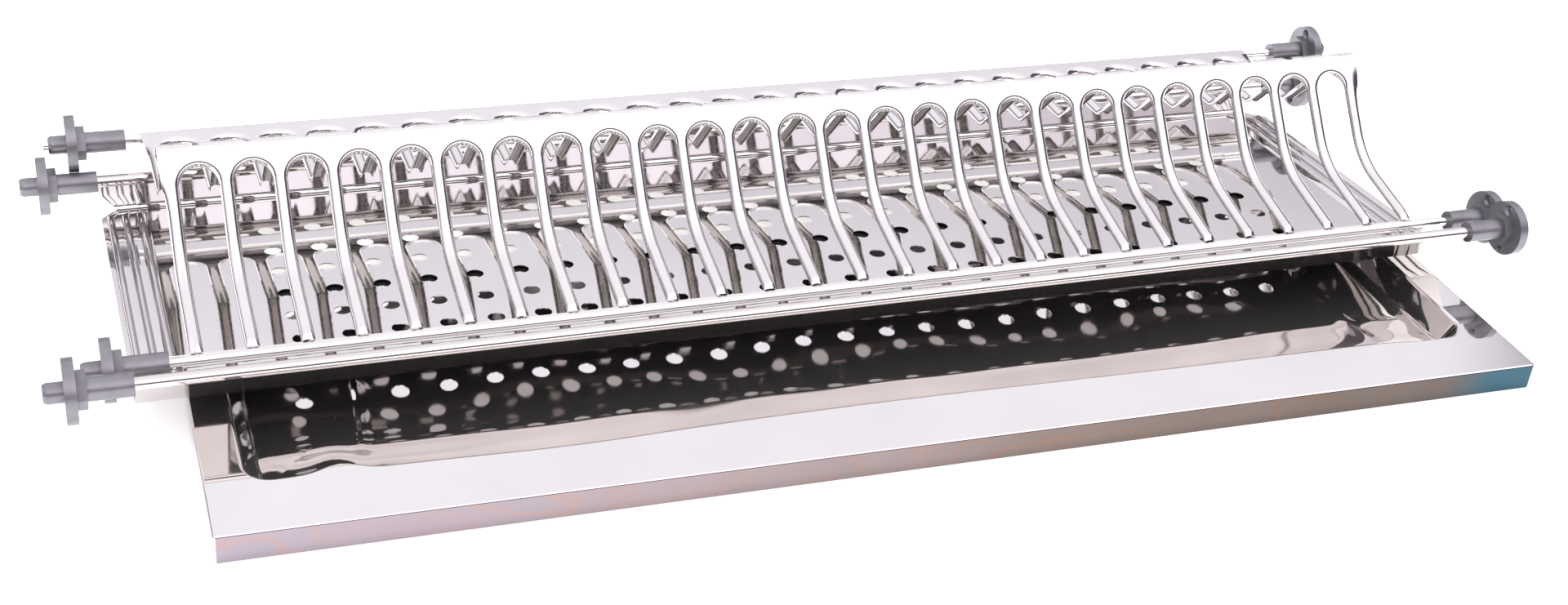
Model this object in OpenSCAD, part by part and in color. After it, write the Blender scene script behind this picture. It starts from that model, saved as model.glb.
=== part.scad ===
// Cabinet dish drying rack set: plate rack, base rack and drip tray
// Units are millimetres, +Z up, +Y to the back, ground at z = 0

/* [Sheet metal] */
// Thickness of the pressed sheet
sheet_t = 0.6; // [0.5:0.05:0.8]
// Clearance between a rod and the hem rolled round it
hem_clear = 0.05; // [0.03:0.01:0.1]

/* [Rods] */
// Diameter of the steel rods
rod_d = 5.8; // [5:0.1:6.4]
// Length of each of the four rods
rod_len = 870; // [850:1:876]
// How far the base rack's rods reach into their end fittings
base_grip = 36; // [32:0.5:40]
// How far the plate rack's front rod reaches into its right end fitting
plate_grip = 31.8; // [30:0.1:34]
// How far the plate rack's rods stick out of the left end fittings
rod_tip_out = 2.8; // [0:0.1:3.4]

/* [End fittings] */
// Diameter of the stub that plugs into the cabinet side
stub_d = 11; // [10:0.5:12]
// Length of the stub
stub_len = 10; // [6:0.5:12]
// Chamfer round the tip of the stub
stub_bevel = 0.9; // [0.4:0.1:1.5]
// Diameter of the flange disc
disc_d = 34; // [33.5:0.1:34.5]
// Thickness of the flange disc
disc_t = 5.8; // [4:0.2:6]
// Width of the hexagonal boss across its flats
hex_af = 17.5; // [15:0.5:17.5]
// Length of the hexagonal boss
hex_len = 5; // [3:0.5:6]
// Diameter of the sleeve
sleeve_d = 12.6; // [11.6:0.2:13]
// Length of the sleeve
sleeve_len = 22.6; // [22:0.2:23]
// Running clearance of the rod in a fitting
fit_clear = 0.05; // [0.03:0.01:0.1]
// Distance between the two screw holes of a flange
screw_pcd = 25; // [24.6:0.1:26]
// Diameter of a screw hole
screw_d = 4; // [3:0.2:4.6]
// Diameter of the countersink for the screw head
screw_head_d = 7; // [5:0.2:7.2]

/* [Base rack] */
// Distance between the two rods
base_span = 242; // [238:1:246]
// Depth of the floor below the rods
base_depth = 20.7; // [19:0.1:23]
// Slope of the front wall
front_wall_angle = 45; // [40:1:60]
// Width of the raised margin at each end
margin_w = 26; // [24:0.5:26]
// Height of the raised margin above the floor
margin_rise = 2; // [1:0.1:2.4]
// Radius of the beads pressed into the margins
bead_r = 1.6; // [1:0.1:1.8]
// Number of beads in a margin
bead_n = 3; // [2:1:3]
// Distance between two beads
bead_pitch = 8.5; // [7:0.1:8.5]
// Distance from the end of the sheet to the first bead
bead_edge = 5; // [4:0.5:5]
// Size of the cut at the rear corners
corner_cut = 10; // [6:0.5:12]
// Diameter of a drain hole
drain_d = 9.8; // [6:0.2:12]
// Distance between drain holes, both ways
drain_pitch = 26.8; // [24:0.1:27.5]
// Number of drain holes along the rack
drain_nx = 24; // [10:1:26]
// Number of rows of drain holes
drain_ny = 6; // [3:1:6]
// Distance from the front rod to the first row of drain holes
drain_first = 64.3; // [50:0.1:70]

/* [Plate rack] */
// How much less its two rods are apart than the base rack's
span_less = 20; // [17:0.1:23]
// Number of plate slots
slot_n = 26; // [10:1:26]
// Width of the ribs left between the slots
rib_w = 7.6; // [7:0.1:9]
// Radius of the slot edges, which are rolled down
edge_r = 3.4; // [2.5:0.1:3.4]
// Flat left beyond the middle of each end rib
end_margin = 5.9; // [4.8:0.1:6]
// Length of the front hem past the left end of the slotted sheet
front_hem_left = 8; // [4:0.1:8]
// Length of the front hem past the right end of the slotted sheet
front_hem_right = 18; // [10:0.5:18]
// Length of the rear hem past each end of the slotted sheet
rear_hem_past = 0.5; // [0:0.1:1]
// Distance from the front rod to the foot of the ribs
foot_run = 5; // [4.6:0.1:7]
// Length of sheet under the ribs' feet
foot_lap = 4; // [2:0.5:6]
// Slope of the lower part of the front ribs
ramp_angle = 9; // [6:0.5:12]
// Length of the lower straight part of a front rib
ramp_len = 36; // [30:0.5:42]
// Radius of the bend in a front rib
ramp_bend_r = 50; // [30:1:60]
// Slope of the upper part of the front ribs
back_angle = 47; // [44:0.5:50]
// Length from the bend to the top of the front slots
back_len = 39.9; // [36:0.1:44]
// Width of the plain strip between the front slots and the crest bend
crest_strip = 9; // [6:0.5:12]
// Outer radius of the crest
crest_r = 5; // [4.6:0.1:6]
// Slope of the steep rear part
steep_angle = 52.7; // [50:0.1:56]
// How far the rear slots reach up into the crest bend
rear_notch = 3.8; // [1:0.1:3.9]
// Radius of the bend at the foot of the steep part
kink_r = 6; // [5:0.5:9]
// Plain strip between the rear slots and the rear rod
rear_strip = 10; // [8:0.5:14]

/* [Drip tray] */
// Length of the tray
tray_len = 760; // [750:1:762]
// Depth of the tray from front to back
tray_depth = 236; // [228:1:240]
// Height of the tray
tray_h = 15.7; // [12:0.1:18]
// Width of the front rim
tray_front_rim = 41; // [30:1:48]
// Width of the rear rim
tray_rear_rim = 30; // [20:1:36]
// Width of the rims at the two ends
tray_end_rim = 20.5; // [16:0.5:26]
// Horizontal run of the basin's sloping walls
basin_slope = 9; // [6:0.5:14]
// Angle by which the tray lies askew
tray_askew = 0.8; // [0:0.1:1]

/* [Placement] */
// Slope of the base rack as it leans back
base_lean = 3.8; // [3:0.1:4.2]
// Sideways position of the base rack
base_x = -7.4; // [-8:0.1:-6]
// Position of the base rack's front rod from front to back
base_y = -21.7; // [-26:0.1:-16]
// How far the plate rack's sheet lies to the right of the base rack's
plate_x = 7.4; // [7:0.1:7.6]
// How far back the plate rack's front rod lies from the base rack's
plate_set = 35.1; // [32:0.1:38]
// Bare rod between the rear hem and the rear right fitting
rear_right_bare = 23.4; // [23.2:0.1:24]
// Bare rod between the rear hem and the rear left fitting
rear_left_bare = 8.6; // [8:0.1:9]
// Bare rod between the front hem and the front right fitting
front_right_bare = 8; // [1:0.1:9]

/* [Hidden] */
$fn = 64;
// Overlap that carries a cutter past a face
cut = 1;
// Gap left where one loose piece lies on another
seat_gap = 0.3;
// Overlap of a straight run with the bend it grows out of
bend_lap = 0.2;

rod_r = rod_d / 2;
hem_in = rod_r + hem_clear;
hem_out = hem_in + sheet_t;
sleeve_r = sleeve_d / 2;
disc_r = disc_d / 2;
disc_out = sleeve_len + hex_len + disc_t;
fitting_len = disc_out + stub_len;

// The sheets are as long as the rods and fittings leave room for
base_len = rod_len - 2 * base_grip;
plate_hem_len = rod_len - rod_tip_out - fitting_len - plate_grip - front_right_bare;
plate_len = plate_hem_len - front_hem_left - front_hem_right;
plate_span = base_span - span_less;

// ---- where the loose pieces lie ----

// Rear left corner of the tray, on which the base rack's floor lies
rest_y = tray_depth / 2 * cos(tray_askew) + tray_len / 2 * sin(tray_askew);
floor_under = -base_depth - sheet_t;
rest_run = (rest_y - base_y - floor_under * sin(base_lean)) / cos(base_lean);
base_rod_z = tray_h + seat_gap + rest_run * sin(base_lean) - floor_under * cos(base_lean);

// The plate rack's front rod lies on the beads of the base rack's margin
plate_front_n = -base_depth + margin_rise + bead_r + seat_gap + sleeve_r;
// Its rear flange lies on the base rack's rear sleeve
rear_rest = disc_r + sleeve_r + seat_gap;
set_dist = norm([base_span - plate_set, plate_front_n]);
set_angle = atan2(-plate_front_n, base_span - plate_set);
rest_cos = (pow(set_dist, 2) + pow(plate_span, 2) - pow(rear_rest, 2)) / (2 * set_dist * plate_span);
plate_rise = set_angle + acos(rest_cos);

// ---- side view of the plate rack, as [back, up] along the top of the ribs ----

function ahead(p, a, s) = [p[0] + s * cos(a), p[1] + s * sin(a)];
function left_centre(p, a, r) = ahead(p, a + 90, r);
function right_centre(p, a, r) = ahead(p, a - 90, r);
function after_left(p, a, r, turn) = ahead(left_centre(p, a, r), a + turn - 90, r);
function after_right(p, a, r, turn) = ahead(right_centre(p, a, r), a - turn + 90, r);

// The slots share the sheet's length evenly
slot_pitch = (plate_len - 2 * end_margin) / slot_n;
slot_w = slot_pitch - rib_w;
slot_r = slot_w / 2;
rib_land = rib_w - 2 * edge_r;
last_rib = slot_n * slot_pitch / 2;
plate_half = last_rib + end_margin;

hem_tangent = ahead([0, 0], ramp_angle + 90, hem_out);
foot = ahead(ahead(hem_tangent, ramp_angle + 90, edge_r), ramp_angle, foot_run);
ramp_end = ahead(foot, ramp_angle, ramp_len);
ramp_turn = back_angle - ramp_angle;
back_start = after_left(ramp_end, ramp_angle, ramp_bend_r, ramp_turn);
arch_mid = ahead(back_start, back_angle, back_len - slot_r);
strip_len = slot_r + crest_strip;
crest_start = ahead(arch_mid, back_angle, strip_len);
crest_turn = back_angle + steep_angle;
crest_end = after_right(crest_start, back_angle, crest_r, crest_turn);
notch_mid = slot_r - rear_notch;
steep_start = ahead(crest_end, -steep_angle, notch_mid);

// The flat rear part is level once the racks are stacked
flat_angle = base_lean - plate_rise;
rear_tangent = ahead([plate_span, 0], flat_angle + 90, hem_out);
to_rear = rear_tangent - crest_end;
kink_turn = steep_angle + flat_angle;
meet = (to_rear[0] * sin(flat_angle) - to_rear[1] * cos(flat_angle)) / sin(kink_turn);
kink_start = ahead(crest_end, -steep_angle, meet - kink_r * tan(kink_turn / 2));
kink_end = after_left(kink_start, -steep_angle, kink_r, kink_turn);
rear_arch = ahead(rear_tangent, flat_angle, -rear_strip - slot_r);

steel = "gainsboro";
bright = "silver";
plastic = "slategray";

// ---- shared frames and shapes ----

// Frame of the base rack: x along the rods, y along the floor, z off it
module on_base() {
    translate([base_x, base_y, base_rod_z])
        rotate([-base_lean, 0, 0])
            children();
}

// Frame of the plate rack, laid in the base rack's frame
module on_plate() {
    on_base()
        translate([plate_x, plate_set, plate_front_n])
            rotate([plate_rise, 0, 0])
                children();
}

// Stands a side view drawn as [back, up] upright, its width along x
module side_on() {
    rotate([90, 0, 90])
        children();
}

// A side view extruded along x between two ends
module side_slab(x0, x1) {
    translate([x0, 0, 0])
        side_on()
            linear_extrude(x1 - x0)
                children();
}

module bar_x(r, x0, x1) {
    translate([x0, 0, 0])
        rotate([0, 90, 0])
            cylinder(r = r, h = x1 - x0);
}

module hem_tube(x0, x1) {
    difference() {
        bar_x(hem_out, x0, x1);
        bar_x(hem_in, x0 - cut, x1 + cut);
    }
}

// ---- drip tray ----

// Block with its top at h and sides that draw in towards the bottom
module taper(len, depth, h, run) {
    intersection() {
        rotate([90, 0, 0])
            linear_extrude(depth, center = true)
                polygon([[-len / 2 + run, 0], [len / 2 - run, 0], [len / 2, h], [-len / 2, h]]);
        rotate([90, 0, 90])
            linear_extrude(len, center = true)
                polygon([[-depth / 2 + run, 0], [depth / 2 - run, 0], [depth / 2, h], [-depth / 2, h]]);
    }
}

module at_tray() {
    rotate([0, 0, -tray_askew])
        children();
}

basin_len = tray_len - 2 * tray_end_rim;
basin_depth = tray_depth - tray_front_rim - tray_rear_rim;
basin_y = (tray_front_rim - tray_rear_rim) / 2;

module tray_rim() {
    color(steel)
        at_tray()
            difference() {
                translate([-tray_len / 2, -tray_depth / 2, 0])
                    cube([tray_len, tray_depth, tray_h]);
                translate([-tray_len / 2 + sheet_t, -tray_depth / 2 + sheet_t, -cut])
                    cube([tray_len - 2 * sheet_t, tray_depth - 2 * sheet_t, tray_h - sheet_t + cut]);
                translate([-basin_len / 2, basin_y - basin_depth / 2, 0])
                    cube([basin_len, basin_depth, tray_h + cut]);
            }
}

module tray_basin() {
    color(steel)
        at_tray()
            translate([0, basin_y, 0])
                difference() {
                    taper(basin_len, basin_depth, tray_h, basin_slope);
                    translate([0, 0, sheet_t])
                        taper(basin_len - 2 * sheet_t, basin_depth - 2 * sheet_t, tray_h, basin_slope);
                }
}

// ---- base rack ----

base_half = base_len / 2;
wall_in = hem_in / sin(front_wall_angle);
rear_face = base_span + hem_out;
// Where the front wall's inner face meets the underside of the floor
floor_front = -floor_under / tan(front_wall_angle) - wall_in;
wall_top_in = [-hem_in * sin(front_wall_angle), -hem_in * cos(front_wall_angle)];
wall_foot_in = [floor_front, floor_under];

module base_front_wall() {
    len = base_depth / sin(front_wall_angle) + base_depth;
    color(steel)
        on_base()
            difference() {
                rotate([90 - front_wall_angle, 0, 0]) {
                    hem_tube(-base_half, base_half);
                    translate([-base_half, -hem_out, -len])
                        cube([base_len, sheet_t, len]);
                }
                // Level underside
                translate([-base_half - cut, -base_depth, floor_under - base_len])
                    cube([base_len + 2 * cut, base_span, base_len]);
            }
}

module base_floor() {
    len = base_len - 2 * margin_w;
    color(steel)
        on_base()
            difference() {
                translate([-len / 2, floor_front, floor_under])
                    cube([len, rear_face - sheet_t - floor_front, sheet_t]);
                for (i = [0 : drain_nx - 1], j = [0 : drain_ny - 1])
                    translate([(i - (drain_nx - 1) / 2) * drain_pitch, drain_first + j * drain_pitch, floor_under - cut])
                        cylinder(d = drain_d, h = sheet_t + 2 * cut);
            }
}

// Outline of the rear wall, seen from the back
module base_rear_wall() {
    color(steel)
        on_base() {
            translate([0, base_span, 0])
                hem_tube(-base_half, base_half);
            translate([0, rear_face, 0])
                rotate([90, 0, 0])
                    linear_extrude(sheet_t)
                        polygon([
                            [-base_half, 0],
                            [-base_half, floor_under + corner_cut],
                            [-base_half + corner_cut, floor_under],
                            [base_half - corner_cut, floor_under],
                            [base_half, floor_under + corner_cut],
                            [base_half, 0]
                        ]);
        }
}

// Section of a margin: x from the floor outwards, y above the floor
module margin_section() {
    slip = sheet_t * tan(22.5);
    hollow_r = bead_r - sheet_t;
    difference() {
        union() {
            polygon([
                [0, 0],
                [margin_rise, margin_rise],
                [margin_w, margin_rise],
                [margin_w, margin_rise - sheet_t],
                [margin_rise + slip, margin_rise - sheet_t],
                [slip, -sheet_t],
                [0, -sheet_t]
            ]);
            for (i = [0 : bead_n - 1])
                translate([margin_w - bead_edge - i * bead_pitch, margin_rise])
                    circle(bead_r);
        }
        for (i = [0 : bead_n - 1])
            translate([margin_w - bead_edge - i * bead_pitch, margin_rise]) {
                circle(hollow_r);
                translate([-bead_r, -bead_r - sheet_t])
                    square([2 * bead_r, bead_r]);
                translate([-hollow_r, -bead_r])
                    square([2 * hollow_r, bead_r]);
            }
    }
}

module base_margin() {
    len = rear_face - sheet_t;
    difference() {
        translate([base_half - margin_w, len, -base_depth])
            rotate([90, 0, 0])
                linear_extrude(len)
                    margin_section();
        // Everything in front of the front wall's inner face
        side_slab(base_half - margin_w - cut, base_half + cut)
            polygon([
                [-cut, cut],
                wall_top_in,
                wall_foot_in,
                [floor_front, floor_under - cut],
                [-cut, floor_under - cut]
            ]);
        translate([base_half, rear_face, 0])
            rotate([0, 0, 45])
                cube([corner_cut * sqrt(2), corner_cut * sqrt(2), 3 * base_depth], center = true);
    }
}

module base_margins() {
    color(steel)
        on_base() {
            base_margin();
            mirror([1, 0, 0])
                base_margin();
        }
}

module base_front_rod() {
    color(bright)
        on_base()
            bar_x(rod_r, -rod_len / 2, rod_len / 2);
}

module base_rear_rod() {
    color(bright)
        on_base()
            translate([0, base_span, 0])
                bar_x(rod_r, -rod_len / 2, rod_len / 2);
}

// ---- plate rack ----

// Quarter of a rolled edge, its top at x = 0 and its outside towards +y
module rolled_edge() {
    translate([-edge_r, 0])
        intersection() {
            difference() {
                circle(edge_r);
                circle(edge_r - sheet_t);
            }
            square(edge_r + cut);
        }
}

// Section of a rib: x is height with the top at 0, y is width
module rib_section() {
    translate([0, rib_land / 2])
        rolled_edge();
    mirror([0, 1])
        translate([0, rib_land / 2])
            rolled_edge();
    translate([-sheet_t, -rib_land / 2])
        square([sheet_t, rib_land]);
}

// Section of an end rib: rolled on its slot side, plain on its outer side
module end_section() {
    translate([0, rib_land / 2])
        rolled_edge();
    translate([-sheet_t, -end_margin])
        square([sheet_t, end_margin + rib_land / 2]);
}

module run_straight(p, a, len) {
    translate([p[0], p[1], 0])
        rotate([0, 0, a])
            rotate([90, 0, 90])
                linear_extrude(len)
                    children();
}

module run_left(p, a, r, turn) {
    c = left_centre(p, a, r);
    translate([c[0], c[1], 0])
        rotate([0, 0, a - 90])
            rotate_extrude(angle = turn)
                translate([r, 0])
                    mirror([1, 0])
                        children();
}

// One rib of each kind at every place between the slots
module rib_places() {
    for (k = [1 : slot_n - 1])
        translate([k * slot_pitch - last_rib, 0, 0])
            side_on()
                children(0);
    translate([-last_rib, 0, 0])
        side_on()
            children(1);
    mirror([1, 0, 0])
        translate([-last_rib, 0, 0])
            side_on()
                children(1);
}

module ramp_run() {
    run_straight(foot, ramp_angle, ramp_len)
        children();
}

module bend_run() {
    run_left(ramp_end, ramp_angle, ramp_bend_r, ramp_turn)
        children();
}

module back_run() {
    run_straight(back_start, back_angle, back_len - slot_r)
        children();
}

module steep_run() {
    run_straight(steep_start, -steep_angle, norm(kink_start - steep_start))
        children();
}

module kink_run() {
    run_left(kink_start, -steep_angle, kink_r, kink_turn)
        children();
}

module flat_run() {
    run_straight(kink_end, flat_angle, norm(rear_arch - kink_end))
        children();
}

module plate_ramp_ribs() {
    color(steel)
        on_plate()
            rib_places() {
                ramp_run()
                    rib_section();
                ramp_run()
                    end_section();
            }
}

module plate_bend_ribs() {
    color(steel)
        on_plate()
            rib_places() {
                bend_run()
                    rib_section();
                bend_run()
                    end_section();
            }
}

module plate_back_ribs() {
    color(steel)
        on_plate()
            rib_places() {
                back_run()
                    rib_section();
                back_run()
                    end_section();
            }
}

module plate_steep_ribs() {
    color(steel)
        on_plate()
            rib_places() {
                steep_run()
                    rib_section();
                steep_run()
                    end_section();
            }
}

module plate_kink_ribs() {
    color(steel)
        on_plate()
            rib_places() {
                kink_run()
                    rib_section();
                kink_run()
                    end_section();
            }
}

module plate_flat_ribs() {
    color(steel)
        on_plate()
            rib_places() {
                flat_run()
                    rib_section();
                flat_run()
                    end_section();
            }
}

// Rolled-down edges round the ends of a row of slots
module arch_edges(p, a) {
    side_on()
        translate([p[0], p[1], 0])
            rotate([0, 0, a])
                for (k = [0 : slot_n - 1])
                    translate([0, 0, (k + 0.5) * slot_pitch - last_rib])
                        rotate([-90, 0, 0])
                            rotate([0, 0, -90])
                                rotate_extrude(angle = 180)
                                    translate([slot_r + edge_r, 0])
                                        rotate(90)
                                            rolled_edge();
}

// Plain strip that closes a row of slots: it starts at p on the arches' centres
module arch_strip(p, a, len) {
    side_on()
        translate([p[0], p[1], 0])
            rotate([0, 0, a])
                difference() {
                    translate([0, -sheet_t, -plate_half])
                        cube([len, sheet_t, 2 * plate_half]);
                    for (k = [0 : slot_n - 1])
                        translate([0, cut, (k + 0.5) * slot_pitch - last_rib])
                            rotate([90, 0, 0])
                                cylinder(r = slot_r + edge_r, h = sheet_t + 2 * cut);
                }
    arch_edges(p, a);
}

module plate_front_hem() {
    color(steel)
        on_plate() {
            hem_tube(-plate_half - front_hem_left, plate_half + front_hem_right);
            side_slab(-plate_half, plate_half)
                translate(hem_tangent)
                    rotate(ramp_angle)
                        translate([0, -sheet_t])
                            square([foot_run + foot_lap, sheet_t]);
        }
}

// The crest bend and the top of the steep slope, without the slots
module ridge_sheet() {
    c = right_centre(crest_start, back_angle, crest_r);
    side_on() {
        translate([c[0], c[1], -plate_half])
            rotate([0, 0, 90 - steep_angle])
                rotate_extrude(angle = crest_turn)
                    translate([crest_r - sheet_t, 0])
                        square([sheet_t, 2 * plate_half]);
        translate([crest_end[0], crest_end[1], -plate_half])
            rotate([0, 0, -steep_angle])
                translate([-bend_lap, -sheet_t, 0])
                    cube([notch_mid + bend_lap, sheet_t, 2 * plate_half]);
    }
}

module plate_crest() {
    color(steel)
        on_plate()
            arch_strip(arch_mid, back_angle, strip_len);
}

module plate_ridge() {
    color(steel)
        on_plate()
            difference() {
                ridge_sheet();
                for (k = [0 : slot_n - 1])
                    translate([(k + 0.5) * slot_pitch - last_rib, 0, 0])
                        side_on()
                            translate([steep_start[0], steep_start[1], 0])
                                rotate([0, 0, -steep_angle])
                                    translate([0, cut, 0])
                                        rotate([90, 0, 0])
                                            cylinder(r = slot_r, h = crest_r + cut);
            }
}

module plate_rear_hem() {
    color(steel)
        on_plate() {
            translate([0, plate_span, 0])
                hem_tube(-plate_half - rear_hem_past, plate_half + rear_hem_past);
            arch_strip(rear_arch, flat_angle, rear_strip + slot_r);
        }
}

// Inner ends of the plate rack's four sleeves
front_left_x = -plate_half - front_hem_left;
front_right_x = plate_half + front_hem_right + front_right_bare;
rear_left_x = -plate_half - rear_hem_past - rear_left_bare;
rear_right_x = plate_half + rear_hem_past + rear_right_bare;

module plate_front_rod() {
    tip = front_left_x - fitting_len - rod_tip_out;
    color(bright)
        on_plate()
            bar_x(rod_r, tip, tip + rod_len);
}

module plate_rear_rod() {
    tip = rear_left_x - fitting_len - rod_tip_out;
    color(bright)
        on_plate()
            translate([0, plate_span, 0])
                bar_x(rod_r, tip, tip + rod_len);
}

// ---- end fittings ----

// Fitting with its sleeve's inner end at x = 0, pointing outwards along +x.
// It stands upright in the world, so its two screw holes are one above the other
module fitting() {
    color(plastic)
        difference() {
            union() {
                bar_x(sleeve_r, 0, sleeve_len);
                translate([sleeve_len, 0, 0])
                    rotate([90, 0, 90])
                        cylinder(r = hex_af / 2 / cos(30), h = hex_len, $fn = 6);
                bar_x(disc_r, sleeve_len + hex_len, disc_out);
                bar_x(stub_d / 2, disc_out, fitting_len - 2 * stub_bevel);
                translate([fitting_len - 2 * stub_bevel, 0, 0])
                    rotate([0, 90, 0])
                        cylinder(r1 = stub_d / 2, r2 = stub_d / 2 - stub_bevel, h = 2 * stub_bevel);
            }
            bar_x(rod_r + fit_clear, -cut, fitting_len + cut);
            for (side = [-1, 1])
                translate([sleeve_len + hex_len, 0, side * screw_pcd / 2])
                    rotate([0, 90, 0]) {
                        translate([0, 0, -cut])
                            cylinder(d = screw_d, h = disc_t + 2 * cut);
                        cylinder(d1 = screw_head_d, d2 = screw_d, h = (screw_head_d - screw_d) / 2);
                    }
        }
}

// Placed at x along a rod, turned back by the rack's own slope
module fitting_right(x, slope) {
    translate([x, 0, 0])
        rotate([-slope, 0, 0])
            fitting();
}

module fitting_left(x, slope) {
    mirror([1, 0, 0])
        fitting_right(-x, slope);
}

module base_front_left_fitting() {
    on_base()
        fitting_left(-base_half, -base_lean);
}

module base_front_right_fitting() {
    on_base()
        fitting_right(base_half, -base_lean);
}

module base_rear_left_fitting() {
    on_base()
        translate([0, base_span, 0])
            fitting_left(-base_half, -base_lean);
}

module base_rear_right_fitting() {
    on_base()
        translate([0, base_span, 0])
            fitting_right(base_half, -base_lean);
}

module plate_front_left_fitting() {
    on_plate()
        fitting_left(front_left_x, -flat_angle);
}

module plate_front_right_fitting() {
    on_plate()
        fitting_right(front_right_x, -flat_angle);
}

module plate_rear_left_fitting() {
    on_plate()
        translate([0, plate_span, 0])
            fitting_left(rear_left_x, -flat_angle);
}

module plate_rear_right_fitting() {
    on_plate()
        translate([0, plate_span, 0])
            fitting_right(rear_right_x, -flat_angle);
}

tray_rim();
tray_basin();
base_front_wall();
base_floor();
base_rear_wall();
base_margins();
base_front_rod();
base_rear_rod();
plate_front_hem();
plate_ramp_ribs();
plate_bend_ribs();
plate_back_ribs();
plate_crest();
plate_ridge();
plate_steep_ribs();
plate_kink_ribs();
plate_flat_ribs();
plate_rear_hem();
plate_front_rod();
plate_rear_rod();
base_front_left_fitting();
base_front_right_fitting();
base_rear_left_fitting();
base_rear_right_fitting();
plate_front_left_fitting();
plate_front_right_fitting();
plate_rear_left_fitting();
plate_rear_right_fitting();
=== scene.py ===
"""Stainless dish drying rack set: plate rack on a base rack on a drip tray.

The three pressed sheets are surfaces worked out with numpy on a flat layout and
then bent along a side view. The rods and end fittings are the solid model's own
pieces with finishes of their own. Sizes are in millimetres until a mesh is made.
"""

import logging
import math
from dataclasses import dataclass, field
from enum import Enum
from functools import cache

import bmesh
import bpy
import numpy as np
from mathutils import Matrix, Vector


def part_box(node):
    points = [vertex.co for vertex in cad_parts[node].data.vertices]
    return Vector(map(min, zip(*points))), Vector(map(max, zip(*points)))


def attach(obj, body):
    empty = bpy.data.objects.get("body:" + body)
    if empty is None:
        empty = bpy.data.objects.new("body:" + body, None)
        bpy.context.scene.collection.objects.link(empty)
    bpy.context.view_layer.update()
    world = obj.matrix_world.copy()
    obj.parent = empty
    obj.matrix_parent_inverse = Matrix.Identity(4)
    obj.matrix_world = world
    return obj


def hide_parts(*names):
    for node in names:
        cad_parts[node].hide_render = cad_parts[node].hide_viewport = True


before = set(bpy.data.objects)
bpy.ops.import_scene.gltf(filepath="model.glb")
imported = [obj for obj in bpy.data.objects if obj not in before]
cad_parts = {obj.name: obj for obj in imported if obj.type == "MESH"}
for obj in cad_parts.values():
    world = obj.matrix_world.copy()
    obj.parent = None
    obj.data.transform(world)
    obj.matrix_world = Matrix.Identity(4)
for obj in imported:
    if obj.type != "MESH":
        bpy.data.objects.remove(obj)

Array = np.ndarray
Socket = bpy.types.NodeSocket
Value = Socket | float | tuple[float, ...]
Inputs = dict[int | str, Value]
Pair = tuple[float, float]
Triple = tuple[float, float, float]
Object = bpy.types.Object
Box = tuple[float, float, float, float]
Stops = tuple[tuple[float, Triple], ...]
Row = tuple[Array, float]

MM = 0.001
# Edges that bend by more than this many degrees stay sharp.
SHARP = 42.0
# Points of a mesh closer than this, in metres, are one, and shorter edges are dissolved.
MERGE = 2e-6
TINY = 1e-7
# How much the larger faces decide the shading at a vertex, from 0 to 100.
FACE_WEIGHT = 80
# Slack for comparing distances along a side view.
CLOSE = 1e-9
# Digits after the point that tell two places along a side view, two columns or two angles apart.
PLACE_DIGITS, COLUMN_DIGITS, ANGLE_DIGITS = 6, 5, 9
# A distance past any part of the set.
FAR = 1e6
# Places of the mix node's share and colours among its inputs, and of the colour it gives.
MIX_SHARE, MIX_ONE, MIX_OTHER, MIX_COLOUR = 0, 6, 7, 2
# Nearly all of a noise pattern's values lie between these two.
NOISE_LOW, NOISE_HIGH = 0.3, 0.7

log = logging.getLogger("dish_rack")
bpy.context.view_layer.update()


# ---- shapes


class Turn(Enum):
    """Which way a bend goes in the side view, seen with the back on the right."""

    LEFT = 1
    RIGHT = -1


@dataclass(frozen=True)
class Leg:
    """One leg of a side view: a straight run, or a bend when it has a radius."""

    length: float
    radius: float = 0.0
    turn: Turn = Turn.LEFT

    @classmethod
    def bend(cls, radius: float, degrees: float, turn: Turn) -> "Leg":
        """A bend of that radius through that angle."""
        return cls(radius * math.radians(degrees), radius, turn)


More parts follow.
